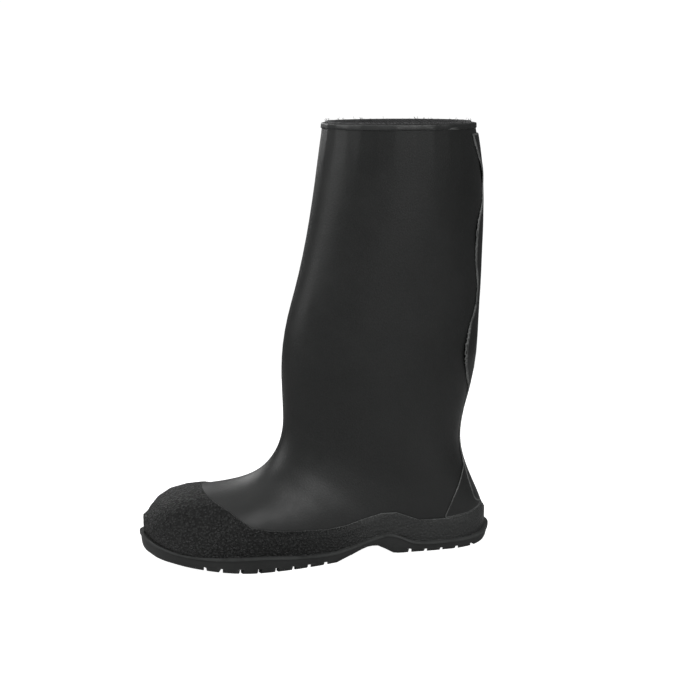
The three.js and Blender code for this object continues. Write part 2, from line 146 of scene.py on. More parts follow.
def join(pieces, name):
    activate(pieces[0])
    for other in pieces[1:]:
        other.select_set(True)
    bpy.ops.object.join()
    whole = bpy.context.object
    whole.name = name
    whole.data.name = name
    return whole


def moulded(piece, voxel, passes):
    """Melts a piece into one even skin, as a moulding has, and rounds its edges."""
    use_modifier(piece, "REMESH", mode="VOXEL", voxel_size=voxel, adaptivity=0.0, use_smooth_shade=True)
    use_modifier(piece, "SMOOTH", factor=0.5, iterations=passes)


def push(piece, at, by, reach):
    """Moves the surface near a point, fading out over the reach, as thumbs press rubber."""
    at = Vector(at) * MM
    near = min(piece.data.vertices, key=lambda v: (v.co - at).length).index
    edit(piece)
    bm = bmesh.from_edit_mesh(piece.data)
    bm.verts.ensure_lookup_table()
    bm.verts[near].select_set(True)
    bmesh.update_edit_mesh(piece.data)
    bpy.ops.transform.translate(
        value=[v * MM for v in by],
        use_proportional_edit=True,
        use_proportional_connected=True,
        proportional_edit_falloff="SMOOTH",
        proportional_size=reach * MM,
    )
    leave_edit()


def draw_outline(name, marks, handles="AUTO", steps=6):
    """A closed outline drawn as a curve through its marks and filled with one face."""
    deselect_all()
    bpy.ops.curve.primitive_bezier_circle_add(radius=0.1)
    drawn = bpy.context.object
    drawn.data.dimensions = "3D"
    drawn.data.resolution_u = steps
    spline = drawn.data.splines[0]
    spline.bezier_points.add(len(marks) - len(spline.bezier_points))
    for point, mark in zip(spline.bezier_points, marks):
        point.handle_left_type = point.handle_right_type = handles
        point.co = Vector(mark) * MM
    activate(drawn)
    bpy.ops.object.convert(target="MESH")
    piece = bpy.context.object
    piece.name = name
    piece.data.name = name
    edit_whole(piece)
    bpy.ops.mesh.edge_face_add()
    leave_edit()
    return piece


def pulled_out(piece, by):
    """Pulls a flat outline out into a block."""
    edit_whole(piece)
    bpy.ops.mesh.extrude_region_move(TRANSFORM_OT_translate={"value": [v * MM for v in by]})
    bpy.ops.mesh.select_all(action="SELECT")
    bpy.ops.mesh.normals_make_consistent(inside=False)
    leave_edit()
    return piece


def side_block(name, line):
    """A block as wide as the boot whose outline is drawn as seen from the side."""
    flat = draw_outline(name, [(x, -90, z) for x, z in line], handles="VECTOR", steps=1)
    return pulled_out(flat, (0, 180, 0))


def cut(piece, operation, tool):
    use_modifier(piece, "BOOLEAN", operation=operation, object=tool, solver="MANIFOLD")
    bpy.data.objects.remove(tool)


def mark_wear_and_painted_highlight(piece, least, most, rings=0):
    """Marks the outward edges, from none at the least turn in degrees to all at the most, as rubbed and as
    painted highlight.

    The finishes read the mark and paint it lighter, partly as rubbing and partly as a painted highlight along
    the edge. Each ring carries it one vertex further.
    """
    kept = 0.8  # share of the mark that is left one ring further out
    bm = bmesh.new()
    bm.from_mesh(piece.data)
    bm.normal_update()
    wear_and_painted_highlight = bm.verts.layers.float.new("wear_and_painted_highlight")
    for v in bm.verts:
        turn = math.degrees(max((e.calc_face_angle_signed(0.0) for e in v.link_edges), default=0.0))
        v[wear_and_painted_highlight] = max(0.0, min(1.0, (turn - least) / (most - least)))
    for _ in range(rings):
        spread = [max(v[wear_and_painted_highlight], kept * max(e.other_vert(v)[wear_and_painted_highlight] for e in v.link_edges)) for v in bm.verts]
        for v, value in zip(bm.verts, spread):
            v[wear_and_painted_highlight] = value
    bm.to_mesh(piece.data)
    bm.free()


# ---- Materials ---------------------------------------------------------------------------------------
class Finish:
    """A node material built up from a Principled shader."""

    def __init__(self, name):
        self.material = bpy.data.materials.new(name)
        self.material.use_nodes = True
        self.tree = self.material.node_tree
        self.shader = self.tree.nodes["Principled BSDF"]
        self.place = self.tree.nodes.new("ShaderNodeTexCoord").outputs["Object"]

    def node(self, kind, **settings):
        made = self.tree.nodes.new(kind)
        for name, value in settings.items():
            if name in made.inputs:
                made.inputs[name].default_value = value
            else:
                setattr(made, name, value)
        return made

    def link(self, source, target):
        self.tree.links.new(source, target)

    def feed(self, socket, value):
        """Links a socket where the value is a node's output, and sets it where the value is a constant."""
        if hasattr(value, "links"):
            self.link(value, socket)
        else:
            socket.default_value = value

    def stretched(self, scale):
        mapping = self.node("ShaderNodeMapping")
        mapping.inputs["Scale"].default_value = scale
        self.link(self.place, mapping.inputs["Vector"])
        return mapping.outputs["Vector"]

    def noise(self, scale, detail, roughness=0.55, vector=None):
        made = self.node("ShaderNodeTexNoise", Scale=scale, Detail=detail, Roughness=roughness)
        self.link(vector or self.place, made.inputs["Vector"])
        return made.outputs["Fac"]

    def cells(self, scale):
        made = self.node("ShaderNodeTexVoronoi", Scale=scale)
        self.link(self.place, made.inputs["Vector"])
        return made.outputs["Distance"]

    def bands(self, direction, scale, distortion):
        made = self.node("ShaderNodeTexWave", Scale=scale, Distortion=distortion)
        made.bands_direction = direction
        self.link(self.place, made.inputs["Vector"])
        return made.outputs["Fac"]

    def span(self, value, low, high, to_low=0.0, to_high=1.0):
        made = self.node("ShaderNodeMapRange")
        made.inputs["From Min"].default_value = low
        made.inputs["From Max"].default_value = high
        made.inputs["To Min"].default_value = to_low
        made.inputs["To Max"].default_value = to_high
        self.link(value, made.inputs["Value"])
        return made.outputs["Result"]

    def tint(self, factor, dark, light):
        ramp = self.node("ShaderNodeValToRGB")
        ramp.color_ramp.elements[0].color = (*dark, 1)
        ramp.color_ramp.elements[1].color = (*light, 1)
        self.link(factor, ramp.inputs["Fac"])
        return ramp.outputs["Color"]

    def mix(self, factor, a, b):
        made = self.node("ShaderNodeMix", data_type="RGBA")
        for socket, value in zip((made.inputs[0], made.inputs[6], made.inputs[7]), (factor, a, b)):
            self.feed(socket, value)
        return made.outputs[2]

    def maths(self, operation, a, b):
        made = self.node("ShaderNodeMath", operation=operation)
        for socket, value in zip(made.inputs, (a, b)):
            self.feed(socket, value)
        return made.outputs[0]

    def wear_and_painted_highlight(self):
        """Where the piece's outward edges are rubbed and carry a painted highlight, broken up by a cloud."""
        mark = self.node("ShaderNodeAttribute", attribute_name="wear_and_painted_highlight")
        return self.maths("MULTIPLY", mark.outputs["Fac"], self.span(self.noise(60, 4), 0.3, 0.55, 0.25, 1.0))

    def bump(self, height, distance, strength, below=None):
        made = self.node("ShaderNodeBump", Strength=strength, Distance=distance)
        self.link(height, made.inputs["Height"])
        if below:
            self.link(below, made.inputs["Normal"])
        return made.outputs["Normal"]

    def done(self, color, roughness, normal, **fixed):
        self.link(color, self.shader.inputs["Base Color"])
        self.link(roughness, self.shader.inputs["Roughness"])
        self.link(normal, self.shader.inputs["Normal"])
        for name, value in fixed.items():
            self.shader.inputs[name.replace("_", " ")].default_value = value
        return self.material


def satin_rubber():
    f = Finish("satin_black_rubber")
    cloud = f.noise(9, 4)
    bloom = f.noise(55, 5, 0.65)
    speck = f.cells(900)
    color = f.tint(f.span(cloud, 0.35, 0.7), (0.0115, 0.0121, 0.0118), (0.0165, 0.0172, 0.0169))
    dust = f.span(speck, 0.09, 0.05, 0.0, 0.5)
    color = f.mix(f.maths("MULTIPLY", dust, f.span(bloom, 0.55, 0.75)), color, (0.09, 0.092, 0.09, 1))
    # Edges painted lighter: partly rubbing, partly a painted highlight along the edge.
    color = f.mix(f.wear_and_painted_highlight(), color, (0.13, 0.133, 0.13, 1))
    rough = f.maths("ADD", f.span(cloud, 0.3, 0.7, 0.42, 0.49), f.span(bloom, 0.4, 0.7, -0.02, 0.05))
    orange_peel = f.bump(f.noise(620, 2), 0.00022, 0.5)
    ripple = f.bump(f.noise(26, 2), 0.0012, 0.2, orange_peel)
    return f.done(color, rough, ripple, Specular_IOR_Level=0.32)


def grained_rubber():
    f = Finish("pebble_grained_rubber")
    cells = f.cells(430)
    crumbs = f.noise(1300, 3)
    grain = f.maths("ADD", f.span(cells, 0.0, 0.7, 1.0, 0.0), f.span(crumbs, 0.3, 0.7, 0.0, 0.45))
    separate = f.node("ShaderNodeSeparateXYZ")
    f.link(f.place, separate.inputs["Vector"])
    fade = f.span(separate.outputs["X"], -0.045, 0.04, 1.0, 0.12)
    cloud = f.noise(14, 3)
    middle = 0.45  # the tone between the painted shade of the pits and the painted light of the pebbles, which the grain fades to
    painted_pit_shade_and_top_light = f.maths("SUBTRACT", f.span(grain, 0.35, 1.1), middle)
    level = f.maths("ADD", middle, f.maths("MULTIPLY", painted_pit_shade_and_top_light, fade))
    # Painted shade and light: pits are coloured darker and pebble tops lighter, following the bump's height.
    color = f.tint(level, (0.009, 0.0094, 0.0092), (0.046, 0.0478, 0.0469))
    rough = f.maths("ADD", f.span(cloud, 0.3, 0.7, 0.46, 0.54), f.span(grain, 0.2, 1.2, 0.06, -0.04))
    # Edges painted lighter: partly rubbing, partly a painted highlight along the edge.
    color = f.mix(f.wear_and_painted_highlight(), color, (0.085, 0.088, 0.086, 1))
    normal = f.bump(f.maths("MULTIPLY", grain, fade), 0.004, 1.0)
    return f.done(color, rough, normal, Specular_IOR_Level=0.36)


def sole_rubber():
    f = Finish("matte_sole_rubber")
    cloud = f.noise(20, 4)
    crumbs = f.noise(900, 3)
    color = f.tint(f.span(cloud, 0.35, 0.7), (0.016, 0.0167, 0.0165), (0.025, 0.0258, 0.0254))
    rough = f.span(cloud, 0.3, 0.7, 0.44, 0.56)
    # The welt's lip and edges painted lighter: partly rubbing, partly a painted highlight along the lip.
    color = f.mix(f.wear_and_painted_highlight(), color, (0.11, 0.114, 0.112, 1))
    return f.done(color, rough, f.bump(crumbs, 0.00018, 0.5), Specular_IOR_Level=0.3)


def binding_rubber():
    f = Finish("worn_binding_rubber")
    cloud = f.noise(30, 4)
    stretched = f.stretched((1, 1, 5))
    wear = f.span(f.noise(38, 4, 0.6, stretched), 0.60, 0.66)
    color = f.tint(f.span(cloud, 0.3, 0.7), (0.014, 0.0147, 0.0144), (0.024, 0.025, 0.0246))
    color = f.mix(f.maths("MULTIPLY", wear, 0.55), color, (0.16, 0.162, 0.16, 1))
    rough = f.span(cloud, 0.3, 0.7, 0.36, 0.5)
    return f.done(color, rough, f.bump(f.noise(400, 3), 0.0002, 0.5), Specular_IOR_Level=0.4)


def knit(name, dark, light):
    f = Finish(name)
    loops = f.maths("MULTIPLY", f.bands("Z", 320.0, 1.2), f.bands("DIAGONAL", 260.0, 0.8))
    fluff = f.noise(420, 4)
    color = f.tint(f.span(f.maths("ADD", loops, f.span(fluff, 0.3, 0.7, 0.0, 0.6)), 0.1, 1.3), dark, light)
    rough = f.span(fluff, 0.3, 0.7, 0.88, 0.98)
    normal = f.bump(f.maths("ADD", loops, fluff), 0.0006, 0.8)
    return f.done(color, rough, normal, Sheen_Weight=0.3)


def cover_fabric():
    f = Finish("footbed_cover_weave")
    weave = f.maths("MAXIMUM", f.bands("X", 330.0, 0.4), f.bands("Y", 330.0, 0.4))
    fluff = f.noise(150, 4)
    fuzzy = f.span(f.maths("ADD", weave, fluff), 0.6, 1.6)
    color = f.tint(fuzzy, (0.028, 0.029, 0.031), (0.075, 0.077, 0.08))
    rough = f.span(fluff, 0.3, 0.7, 0.85, 0.97)
    return f.done(color, rough, f.bump(weave, 0.0004, 0.7), Sheen_Weight=0.25)


def foam(name, dark, light):
    f = Finish(name)
    pores = f.cells(1100)
    cloud = f.noise(45, 4)
    color = f.tint(f.span(f.maths("ADD", pores, cloud), 0.3, 1.2), dark, light)
    rough = f.span(cloud, 0.3, 0.7, 0.85, 0.95)
    return f.done(color, rough, f.bump(pores, 0.0003, 0.6))


def pressed_steel():
    f = Finish("pressed_steel")
    brushed = f.noise(60, 4, 0.6, f.stretched((1, 18, 6)))
    spots = f.noise(120, 5, 0.7)
    color = f.tint(f.span(brushed, 0.3, 0.7), (0.42, 0.43, 0.44), (0.62, 0.63, 0.64))
    color = f.mix(f.span(spots, 0.68, 0.75, 0.0, 0.5), color, (0.24, 0.19, 0.15, 1))
    rough = f.span(brushed, 0.3, 0.7, 0.28, 0.44)
    return f.done(color, rough, f.bump(brushed, 0.0001, 0.3), Metallic=1.0)


def fibre_board():
    f = Finish("felted_fibre_board")
    fibres = f.noise(220, 5, 0.7, f.stretched((1, 3, 3)))
    color = f.tint(f.span(fibres, 0.3, 0.7), (0.23, 0.18, 0.125), (0.42, 0.345, 0.255))
    rough = f.span(fibres, 0.3, 0.7, 0.82, 0.94)
    return f.done(color, rough, f.bump(fibres, 0.0003, 0.6))


def counter_sheet():
    f = Finish("counter_sheet")
    cloud = f.noise(40, 4)
    color = f.tint(f.span(cloud, 0.3, 0.7), (0.52, 0.50, 0.44), (0.66, 0.64, 0.58))
    rough = f.span(cloud, 0.3, 0.7, 0.42, 0.56)
    return f.done(color, rough, f.bump(f.noise(500, 2), 0.0001, 0.4))


# ---- The outsole's plan and profile --------------------------------------------------------------------
# Half widths of the welt either side of the heel's centre line, by the distance from the back of the heel.
OUTER_SIDE = [
    (4, 15), (13, 27), (30, 35.8), (55, 38.5), (95, 38), (135, 42.5), (185, 53), (220, 56.5), (252, 55.5),
    (282, 46.5), (305, 32.5), (321, 16),
]
INNER_SIDE = [
    (4, 15), (13, 27), (30, 35.8), (55, 37.5), (100, 34.5), (140, 36.5), (185, 46), (225, 50.5), (258, 50.8),
    (290, 45.5), (310, 35.5), (323, 22.5),
]
# Heights of the welt's top and of the sole's underside, by the place along the boot.
WELT_LINE = [
    (-175, 30), (-165, 28), (-152, 22.5), (-135, 18.8), (-110, 17), (-62, 16), (-27, 12.8), (5, 11.2),
    (22, 13.5), (40, 18), (56, 21), (67, 19), (78, 12.8), (88, 10.4), (125, 10), (150, 11.2), (175, 16),
]
GROUND_LINE = [
    (-175, 18), (-165, 13.6), (-154, 9.0), (-136, 6.6), (-117, 4.5), (-97, 2.5), (-80, 1.0), (-64, 0.1),
    (-56, 0), (9, 0), (16, 2.8), (25, 5.7), (36, 10.0), (45, 10.8), (54, 6.8), (62, 1.4), (67, 0), (128, 0),
    (148, 0.3), (160, 2.0), (175, 6.6),
]


def along(line, x):
    """Height of a line at x, smooth through its points."""
    if x <= line[0][0]:
        return line[0][1]
    for k in range(len(line) - 1):
        (x0, z0), (x1, z1) = line[k], line[k + 1]
        if x <= x1:
            before = line[k - 1] if k else line[k]
            after = line[k + 2] if k + 2 < len(line) else line[k + 1]
            m0 = (z1 - before[1]) / (x1 - before[0]) if k else (z1 - z0) / (x1 - x0)
            m1 = (after[1] - z0) / (after[0] - x0)
            h = x1 - x0
            t = (x - x0) / h
            return (
                z0 * (1 + 2 * t) * (1 - t) ** 2
                + h * m0 * t * (1 - t) ** 2
                + z1 * t * t * (3 - 2 * t)
                + h * m1 * t * t * (t - 1)
            )
    return line[-1][1]


# The sole is fuller on its outer side, so the heel's centre line is a little inward of its box's middle.
HEEL_LINE_SHIFT = 2.9
sole_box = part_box("outsole")
HEEL_X = sole_box[1][0] / MM
CENTRE_Y = (sole_box[0][1] + sole_box[1][1]) / 2 / MM + HEEL_LINE_SHIFT
SOLE_LENGTH = 329.8
TOE_SHIFT = 4.0  # the toe's tip lies this far to the inner side of the heel's centre line
FLAT_TOP = 16.0  # height of the sole while it is still flat


def draw_sole_outline(name):
    """The welt's outline, flat."""
    marks = [(HEEL_X, 0.0)]
    marks += [(HEEL_X - u, w) for u, w in INNER_SIDE]
    marks += [(HEEL_X - SOLE_LENGTH, TOE_SHIFT)]
    marks += [(HEEL_X - u, -w) for u, w in reversed(OUTER_SIDE)]
    return draw_outline(name, [(x, y + CENTRE_Y, FLAT_TOP) for x, y in marks])


def bend_to_profile(piece):
    """Bends a flat piece of the sole to the toe spring, the arch and the heel with a lattice."""
    columns, rows = 45, 9
    length, width = 352, 200
    deselect_all()
    bpy.ops.object.add(type="LATTICE", location=(0, 0, FLAT_TOP * MM / 2))
    cage = bpy.context.object
    cage.data.points_u, cage.data.points_v, cage.data.points_w = columns, 2, rows
    for way in ("u", "v", "w"):
        setattr(cage.data, "interpolation_type_" + way, "KEY_LINEAR")
    cage.scale = (length * MM, width * MM, FLAT_TOP * MM)
    bpy.context.view_layer.update()
    for w in range(rows):
        for v in range(2):
            for u in range(columns):
                point = cage.data.points[(w * 2 + v) * columns + u]
                x = -length / 2 + length * u / (columns - 1)
                flat = FLAT_TOP * w / (rows - 1)
                low, high = max(0.0, along(GROUND_LINE, x)), along(WELT_LINE, x)
                body = FLAT_TOP - WELT_THICKNESS
                if flat > body:
                    z = high - (FLAT_TOP - flat)
                else:
                    z = low + (high - WELT_THICKNESS - low) * flat / body
                point.co_deform.z = z / FLAT_TOP - 0.5
    use_modifier(piece, "LATTICE", object=cage)
    bpy.data.objects.remove(cage)


def slice_across(piece, step):
    """Cuts the piece into strips along its length, so that it can bend."""
    edit(piece)
    reach = 172.0
    x = -reach
    while x < reach:
        bpy.ops.mesh.select_all(action="SELECT")
        bpy.ops.mesh.bisect(plane_co=(x * MM, 0, 0), plane_no=(1, 0, 0), use_fill=False)
        x += step
    leave_edit()


def select_underside(piece, z):
    """Selects the faces at a height that look down."""

    def looks_down(face):
        return face.normal.z < -0.5 and abs(face.calc_center_median().z - z * MM) < 1e-5

    select_where(piece, "faces", looks_down)


def soften_edges(piece, width, angle):
    turn = math.radians(angle)
    use_modifier(piece, "BEVEL", width=width * MM, segments=2, limit_method="ANGLE", angle_limit=turn)


def make_sole_block():
    """Welt and sidewall drawn down from one outline, full and a little rounded as it nears the ground."""
    sole = draw_sole_outline("outsole_moulding")
    edit_whole(sole)
    bpy.ops.mesh.extrude_region_move(TRANSFORM_OT_translate={"value": (0, 0, -WELT_THICKNESS * MM)})
    bpy.ops.mesh.select_all(action="SELECT")
    bpy.ops.mesh.normals_make_consistent(inside=False)
    select_underside(sole, FLAT_TOP - WELT_THICKNESS)
    bpy.ops.mesh.inset(thickness=WELT_OVERHANG * MM, depth=0)
    steps = ((0.5, 0.25), (3.1, 0.02), (3.6, 0.2), (3.2, 0.5), (1.9, 0.6), (1.2, 0.8), (0.5, 0.8))
    for drop, inset in steps:
        bpy.ops.mesh.inset(thickness=inset * MM, depth=drop * MM)
    leave_edit()
    return sole


def make_groove(x, width, depth):
    """One wavy bar as wide as a groove of the tread, which is cut out with it."""
    length, wave, bend_every = 140, 1.4, 7
    below = 2  # it reaches this far under the sole, for a clean cut
    deselect_all()
    bpy.ops.mesh.primitive_cube_add(size=1, location=(0, 0, 0))
    bar = bpy.context.object
    bar.name = "groove"
    edit_whole(bar)
    bpy.ops.transform.resize(value=(width * MM, length * MM, (depth + below) * MM))
    bpy.ops.transform.translate(value=(0, 0, (depth - below) / 2 * MM))
    bends = range(-63, 64, bend_every)
    for y in bends:
        bpy.ops.mesh.select_all(action="SELECT")
        bpy.ops.mesh.bisect(plane_co=(0, y * MM, 0), plane_no=(0, 1, 0))
    for k, y in enumerate(bends):
        select_where(bar, "verts", lambda v: abs(v.co.y - y * MM) < 1e-4)
        bpy.ops.transform.translate(value=((wave if k % 2 else -wave) * MM, 0, 0))
    bpy.ops.mesh.select_all(action="SELECT")
    bpy.ops.transform.translate(value=(x * MM, CENTRE_Y * MM, 0))
    leave_edit()
    return bar


def make_outsole():
    """The sole is cut while it is flat: wavy grooves, a channel along each of its halves, then the bend."""
    channel_width, drawn_width = 6, 180
    sole = make_sole_block()
    grooves = [make_groove(x, 3.6, 5.0) for x in (-112, -97, -81, -65, -49, -33, -18, -3)]
    grooves += [make_groove(x, 3.2, 5.4) for x in (80, 95, 110, 125, 140)]
    cut(sole, "DIFFERENCE", join(grooves, "grooves"))
    for first, last, depth in ((-119, 5, 4.6), (77, 147, 5.0)):
        channel = side_block("channel", [(first, -3), (last, -3), (last, depth), (first, depth)])
        edit_whole(channel)
        bpy.ops.transform.resize(value=(1, channel_width / drawn_width, 1), center_override=(0, 0, 0))
        bpy.ops.transform.translate(value=(0, CENTRE_Y * MM, 0))
        leave_edit()
        cut(sole, "DIFFERENCE", channel)
    soften_edges(sole, 0.4, angle=50)
    slice_across(sole, 5.0)
    bend_to_profile(sole)
    mark_wear_and_painted_highlight(sole, 18, 40)
    smooth(sole, 38)
    return sole


# ---- The rubber pieces of the upper ----------------------------------------------------------------------
# Edges seen from the side, as places along the boot and heights. The strip's are seen from behind.
RAND_LINE = [
    (-70, 41), (-50, 36.8), (-27, 33.8), (0, 31.5), (18, 33), (37, 37.5), (52, 40.5), (66, 40), (77, 35.5),
    (88, 31), (112, 30), (135, 32), (150, 36), (178, 40.5),
]
CAP_EDGE = [(-114, 96), (-112.5, 78), (-109, 67), (-99, 61), (-88, 55), (-78, 47.5), (-70, 41.5)]
STAY_EDGE = [(111, 18), (113, 33), (120.5, 50), (130, 68), (139, 85)]
STRIP_NEAR = [
    (-34, 402), (-31, 385), (-25.5, 367), (-19.5, 353), (-12, 332), (-25, 304), (-24, 274), (-17, 234),
    (-24, 206), (-26, 184), (-20, 161), (-8, 138), (-8, 110), (-13, 84), (-18.5, 68), (-22, 52), (-22.5, 43),
    (-18, 39.5),
]
STRIP_FAR = [
    (11, 40), (12, 70), (9, 107), (15, 150), (11, 193), (16, 236), (12, 278), (15, 330), (12, 386), (13, 400),
]


def swollen(form, name, by):
    """A copy of the form, grown outwards by some millimetres, or shrunk where that is less than nothing."""
    activate(form)
    bpy.ops.object.duplicate(linked=False)
    piece = bpy.context.object
    piece.name = name
    piece.data.name = name
    edit_whole(piece)
    bpy.ops.transform.shrink_fatten(value=by * MM)
    leave_edit()
    return piece


def hollow(piece, form):
    """Cuts away what lies inside the form."""
    cut(piece, "DIFFERENCE", swollen(form, "inside", GAP))


def roughen(piece, texture, **settings):
    """Moves the surface in and out by a texture, 0.4 mm from its lowest to its highest."""
    strength = 0.4 * MM
    use_modifier(piece, "DISPLACE", texture=texture, texture_coords="LOCAL", strength=strength, **settings)


def into_quads(piece):
    edit_whole(piece)
    limits = {"face_threshold": math.radians(50), "shape_threshold": math.radians(60)}
    bpy.ops.mesh.tris_convert_to_quads(**limits)
    leave_edit()


def make_form():
    """The boot's outside as one smooth closed form, from which the rubber pieces are cut."""
    form = copy_node("upper_shell", "form")
    rim_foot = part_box("upper_shell")[1][2] - 0.0003
    leg_middle = 0.075
    edit(form)
    # Without its rim face the shell is two skins, and the inner one is taken away.
    select_where(form, "faces", lambda f: f.normal.z > 0.9 and f.calc_center_median().z > rim_foot)
    bpy.ops.mesh.delete(type="FACE")
    bm = bmesh.from_edit_mesh(form.data)
    rim = (v for v in bm.verts if v.co.z > rim_foot)
    inmost = min(rim, key=lambda v: abs(v.co.x - leg_middle) + abs(v.co.y))
    inmost.select_set(True)
    bmesh.update_edit_mesh(form.data)
    bpy.ops.mesh.select_linked(delimit=set())
    bpy.ops.mesh.delete(type="VERT")
    leave_edit()
    into_quads(form)
    use_modifier(form, "SUBSURF", levels=2, render_levels=2)
    for at, by, reach in (
        ((-26, 0, 182), (-3.0, 0, 0), 75),  # the leg is full above the ankle
        ((118, 0, 176), (4.4, 0, 0), 66),
        ((22, 0, 386), (1.0, 0, 0), 40),
        ((20, -44, 118), (0, 1.4, 0), 46),  # ankle, outer side
        ((-36, -26, 62), (0, 0.7, -0.5), 32),  # vamp, outer side
        ((-48, 26, 58), (0, -0.8, -0.5), 32),
        ((30, 46, 150), (0, -2.0, 0), 45),
        ((95, -44, 250), (0, 1.2, 0), 60),
        ((70, 50, 290), (0, -1.6, 0), 70),
    ):
        push(form, at, by, reach)
    edit(form)
    select_where(form, "edges", lambda e: e.is_boundary)
    bpy.ops.mesh.extrude_edges_move(TRANSFORM_OT_translate={"value": (0, 0, 6 * MM)})
    bpy.ops.mesh.edge_face_add()
    bpy.ops.mesh.select_all(action="SELECT")
    bpy.ops.mesh.normals_make_consistent(inside=False)
    leave_edit()
    return form


def make_upper(form):
    """The leg and vamp, with the wall's thickness turned inwards from the form."""
    upper = swollen(form, "upper", 0)
    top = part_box("upper_shell")[1][2]
    edit(upper)
    select_where(upper, "verts", lambda v: v.co.z > top + 0.002)
    bpy.ops.mesh.delete(type="VERT")
    leave_edit()
    use_modifier(upper, "SOLIDIFY", thickness=UPPER_WALL * MM, offset=-1.0, use_even_offset=False)
    return upper


def make_guard(form):
    """The grained toe guard and the rand that runs back from it, moulded over the upper."""
    guard = swollen(form, "toe_guard_and_rand_moulding", 1.3)
    low_part = [(-200, -30), (200, -30), (200, 60), (-40, 60), (-90, 110), (-200, 110)]
    cut(guard, "INTERSECT", side_block("low_part", low_part))
    skirt = copy_node("toe_guard_and_rand", "skirt")
    hem = copy_node("toe_guard_and_rand", "hem")  # lower, so that the guard reaches down to the welt
    edit_whole(hem)
    bpy.ops.transform.translate(value=(0, 0, -3 * MM))
    leave_edit()
    guard = join([guard, skirt, hem], "toe_guard_and_rand_moulding")
    moulded(guard, 0.0010, 12)
    foot = [(x, along(WELT_LINE, x) + 0.1) for x in range(-176, 180, 4)]
    region = foot + [(x, z) for x, z in reversed(RAND_LINE)][:-1] + list(reversed(CAP_EDGE)) + [(-176, 96)]
    cut(guard, "INTERSECT", side_block("guard_region", region))
    hollow(guard, form)
    mark_wear_and_painted_highlight(guard, 30, 60)
    # The grain is full at the toe and runs out towards the heel.
    faintest, run_out, run_out_over = 0.12, 0.035, 0.05
    grain = guard.vertex_groups.new(name="grain")
    for v in guard.data.vertices:
        grain.add([v.index], max(faintest, min(1.0, (run_out - v.co.x) / run_out_over)), "REPLACE")
    pebbles = bpy.data.textures.new("pebbles", "VORONOI")
    pebbles.noise_scale = 0.0026
    roughen(guard, pebbles, vertex_group="grain")
    return guard


def make_stay(form):
    """The three-cornered stay moulded on the heel."""
    stay = swollen(form, "heel_stay_moulding", 1.1)
    start, clear = 113, 0.3
    foot = [(start, along(RAND_LINE, start) + clear)]
    foot += [(x, z + clear) for x, z in RAND_LINE if x > start]
    region = foot + [(200, 41), (200, 85)] + list(reversed(STAY_EDGE[1:]))
    cut(stay, "INTERSECT", side_block("stay_region", region))
    hollow(stay, form)
    moulded(stay, 0.00045, 3)
    mark_wear_and_painted_highlight(stay, 8, 24, 1)
    return stay


def make_strip(form):
    """The wavy strip bonded over the back seam, from the binding down over the stay."""
    strip = swollen(form, "back_seam_strip", 1.6)
    flat = draw_outline("strip_region", [(85, y, z) for y, z in STRIP_NEAR + STRIP_FAR], steps=5)
    cut(strip, "INTERSECT", pulled_out(flat, (140, 0, 0)))
    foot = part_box("top_binding")[0][2] / MM - 0.3
    cut(strip, "INTERSECT", side_block("below_binding", [(0, 20), (220, 20), (220, foot), (0, foot)]))
    hollow(strip, form)
    moulded(strip, 0.0007, 6)
    for at, by, reach in (
        ((126, -25, 188), (2.4, -0.8, 0), 30),
        ((128, -26, 296), (1.0, -0.4, 0), 26),
        ((133, -8, 350), (1.2, 0, 0), 16),
        ((130, 8, 240), (1.0, 0.3, 0), 22),
    ):
        push(strip, at, by, reach)
    mark_wear_and_painted_highlight(strip, 8, 24, 1)
    return strip


def make_binding(form):
    """The folded band over the top edge, thickest on its outer side, pressed unevenly."""
    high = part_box("top_binding")[1]
    binding = swollen(form, "top_binding_fold", 1.0)
    z1 = high[2] / MM + RIM_RISE
    z0 = z1 - BINDING_HEIGHT
    cut(binding, "INTERSECT", side_block("band", [(-60, z0), (200, z0), (200, z1), (-60, z1)]))
    cut(binding, "DIFFERENCE", swollen(form, "mouth", -2.6))
    moulded(binding, 0.0008, 4)
    lumps = bpy.data.textures.new("lumps", "CLOUDS")
    lumps.noise_scale = 0.011
    roughen(binding, lumps)
    return binding


def make_lining():
    """The knit lining, its cut edge standing a little above the binding with loose ends of yarn."""
    edge_foot = 0.3872  # what lies above this goes up with the rim
    lining = copy_node("lining_sock", "lining_with_raw_edge")
    into_quads(lining)
    use_modifier(lining, "SUBSURF", levels=1, render_levels=1)
    edit(lining)
    select_where(lining, "verts", lambda v: v.co.z > edge_foot)
    bpy.ops.transform.translate(value=(0, 0, RIM_RISE * MM))
    leave_edit()
    return lining


def make_thread(chance):
    """One thread, standing on its foot and bent at two places."""
    height, radius = 3.2, 0.13
    middle = height / 2
    place = (0, 0, middle * MM)
    bpy.ops.mesh.primitive_cylinder_add(vertices=4, radius=radius * MM, depth=height * MM, location=place)
    thread = bpy.context.object
    thread.name = "yarn_end"
    edit(thread)
    for z in (1.1, 2.2):
        bpy.ops.mesh.select_all(action="SELECT")
        bpy.ops.mesh.bisect(plane_co=(0, 0, (z - middle) * MM), plane_no=(0, 0, 1))
    lean = [chance.uniform(-0.9, 0.9) for _ in range(4)]
    tip = (lean[0] - lean[2], lean[1] - lean[3])
    for level, (dx, dy) in ((-0.6, lean[:2]), (0.5, lean[2:]), (1.5, tip)):
        select_where(thread, "verts", lambda v: abs(v.co.z - level * MM) < 0.3 * MM)
        bpy.ops.transform.translate(value=(dx * MM, dy * MM, 0))
    leave_edit()
    bpy.ops.object.transform_apply(location=True, rotation=True, scale=True)
    return thread


